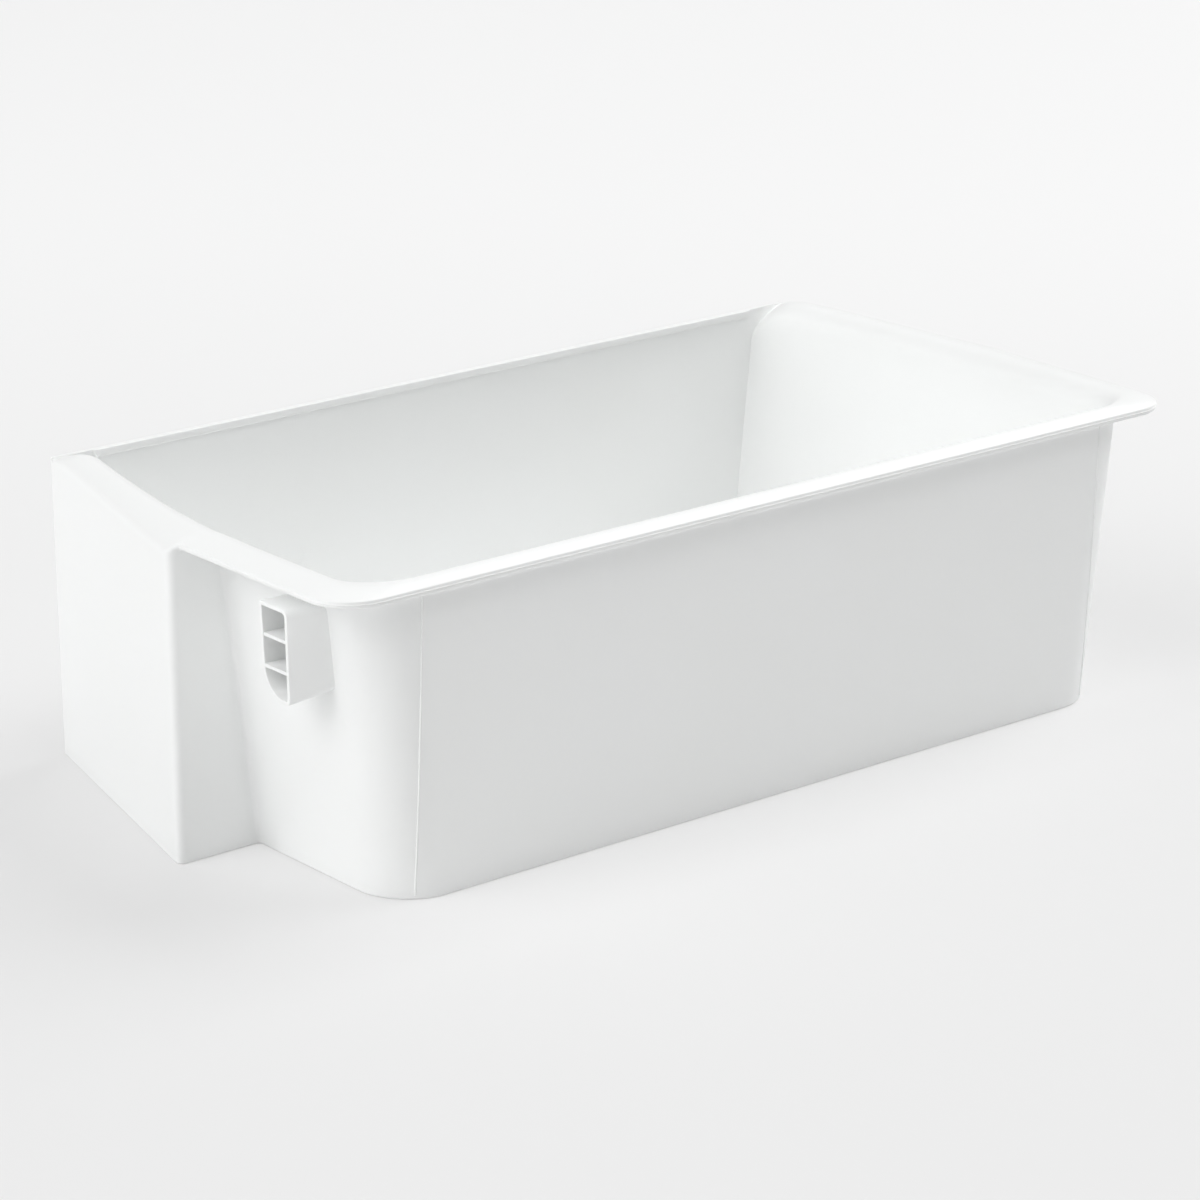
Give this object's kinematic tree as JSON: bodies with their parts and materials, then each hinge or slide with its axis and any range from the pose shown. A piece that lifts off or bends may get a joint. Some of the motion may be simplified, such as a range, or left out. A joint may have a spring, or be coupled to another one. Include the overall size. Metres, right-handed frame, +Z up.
{
  "type": "refrigerator door bin",
  "caption": "Open-top refrigerator door bin: drafted tub with a rolled rim, hollow stepped ends and a three-cell lug under each end flange.",
  "frame": {"origin": "middle of the footprint on the flat bottom", "axes": "+X along the bin's length, -Y towards the near (front) wall, +Z up out of the open top"},
  "size_m": [0.416, 0.204, 0.1199],
  "materials": {
    "white_plastic": "satin moulded white"
  },
  "bodies": {
    "root": {"door_bin": "white_plastic"}
  },
  "joints": []
}
